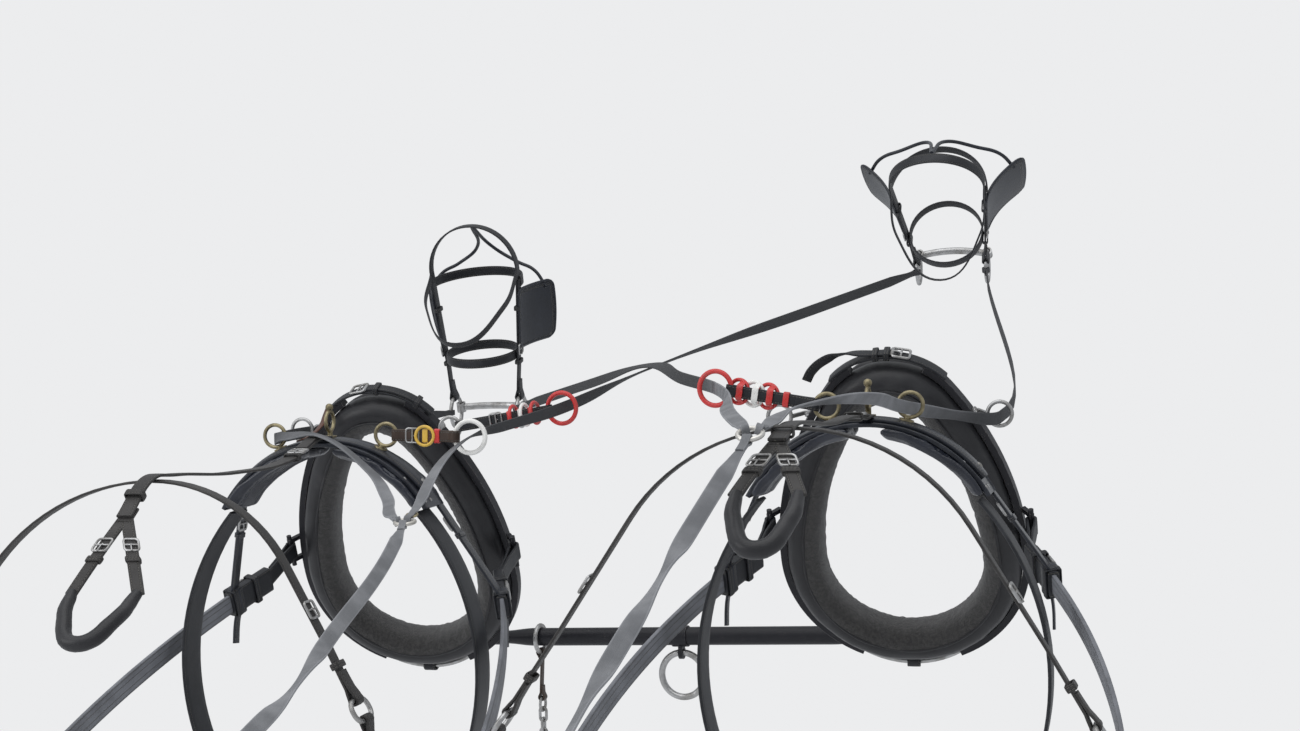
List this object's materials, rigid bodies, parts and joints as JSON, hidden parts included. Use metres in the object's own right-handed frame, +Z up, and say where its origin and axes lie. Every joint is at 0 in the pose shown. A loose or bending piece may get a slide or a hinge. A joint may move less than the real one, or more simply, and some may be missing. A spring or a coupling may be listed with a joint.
{
  "type": "pair driving harness",
  "caption": "Leather and webbing driving harness for a pair abreast, in its worn shape, with collars, pads, bridles, traces, neck yoke, spreader rings and crossing reins.",
  "frame": {"origin": "on the spine line under the middle of the left set's pad", "axes": "+X to the right set, +Y forward, the way the pair is driven, +Z up"},
  "size_m": [1.9442, 3.6758, 1.5916],
  "materials": {
    "black_leather": "worn, half matt",
    "pad_leather": "polished",
    "brown_leather": "oiled",
    "collar_leather": "worn",
    "trace_webbing": "coated webbing",
    "rein_webbing": "matt webbing",
    "black_steel": "worn black paint",
    "bright_steel": "worn",
    "dull_brass": "dull",
    "red_rings": "glossy",
    "white_rings": "glossy",
    "yellow_rings": "glossy"
  },
  "bodies": {
    "harness": {"near_pad_panels": "pad_leather", "near_pad_saddle": "pad_leather", "near_pad_terrets": "dull_brass", "near_girth": "black_leather", "near_back_strap": "black_leather", "near_crupper": "black_leather", "near_hip_strap": "black_leather", "near_strap_loops": "bright_steel", "near_collar": "collar_leather", "near_hames": "black_steel", "near_hame_rings": "bright_steel", "near_hame_strap": "black_leather", "near_tugs": "black_leather", "near_traces": "trace_webbing", "near_trace_eyes": "bright_steel", "near_breast_strap": "black_leather", "near_headstall": "black_leather", "near_bridle_bands": "black_leather", "near_blinkers": "black_leather", "near_bit": "bright_steel", "off_pad_panels": "pad_leather", "off_pad_saddle": "pad_leather", "off_pad_terrets": "dull_brass", "off_girth": "black_leather", "off_back_strap": "black_leather", "off_crupper": "black_leather", "off_hip_strap": "black_leather", "off_strap_loops": "bright_steel", "off_collar": "collar_leather", "off_hames": "black_steel", "off_hame_rings": "bright_steel", "off_hame_strap": "black_leather", "off_tugs": "black_leather", "off_traces": "trace_webbing", "off_trace_eyes": "bright_steel", "off_breast_strap": "black_leather", "off_headstall": "black_leather", "off_bridle_bands": "black_leather", "off_blinkers": "black_leather", "off_bit": "bright_steel", "yoke_bar": "black_steel", "yoke_fittings": "black_steel", "yoke_tip_rings": "bright_steel", "near_pad_spreader": "brown_leather", "near_hame_spreader": "brown_leather", "off_pad_spreader": "brown_leather", "small_rings": "red_rings", "near_rein": "rein_webbing", "off_rein": "rein_webbing", "rein_rings": "bright_steel"},
    "near_bit_ring_left_body": {"near_bit_ring_left": "bright_steel"},
    "near_bit_ring_right_body": {"near_bit_ring_right": "bright_steel"},
    "off_bit_ring_left_body": {"off_bit_ring_left": "bright_steel"},
    "off_bit_ring_right_body": {"off_bit_ring_right": "bright_steel"},
    "white_ring_body": {"white_ring": "white_rings"},
    "near_red_ring_body": {"near_red_ring": "red_rings"},
    "off_red_ring_body": {"off_red_ring": "red_rings"},
    "yoke_ring_body": {"yoke_ring": "black_steel"},
    "yoke_chain_body": {"yoke_chain": "bright_steel"}
  },
  "joints": [
    {"name": "near_bit_ring_left_spin", "type": "hinge", "parent": "harness", "child": "near_bit_ring_left_body", "pos_m": [-0.06, 0.8768, 0.02077], "axis": [1, 0, 0], "continuous": true},
    {"name": "near_bit_ring_right_spin", "type": "hinge", "parent": "harness", "child": "near_bit_ring_right_body", "pos_m": [0.1, 0.8768, 0.02077], "axis": [1, 0, 0], "continuous": true},
    {"name": "off_bit_ring_left_spin", "type": "hinge", "parent": "harness", "child": "off_bit_ring_left_body", "pos_m": [0.99, 1.19489, 0.32701], "axis": [1, 0, 0], "continuous": true},
    {"name": "off_bit_ring_right_spin", "type": "hinge", "parent": "harness", "child": "off_bit_ring_right_body", "pos_m": [1.15, 1.19489, 0.32701], "axis": [1, 0, 0], "continuous": true},
    {"name": "white_ring_spin", "type": "hinge", "parent": "harness", "child": "white_ring_body", "pos_m": [0.285, 0, 0.017], "axis": [0, 1, 0], "continuous": true},
    {"name": "near_red_ring_spin", "type": "hinge", "parent": "harness", "child": "near_red_ring_body", "pos_m": [0.407, 0.2, 0.059], "axis": [0.1183, 0.9928, 0.0183], "continuous": true},
    {"name": "off_red_ring_spin", "type": "hinge", "parent": "harness", "child": "off_red_ring_body", "pos_m": [0.792, -0.12, 0.106], "axis": [0.1641, 0.9861, -0.0261], "continuous": true},
    {"name": "yoke_ring_swing", "type": "hinge", "parent": "harness", "child": "yoke_ring_body", "pos_m": [0.53621, 0.60438, -0.49098], "axis": [0.9946, -0.0982, 0.0341], "range_deg": [-60, 60]},
    {"name": "yoke_chain_swing", "type": "hinge", "parent": "harness", "child": "yoke_chain_body", "pos_m": [0.208, 0.63679, -0.46672], "axis": [0.9946, -0.0982, 0.0341], "range_deg": [-40, 40]}
  ]
}
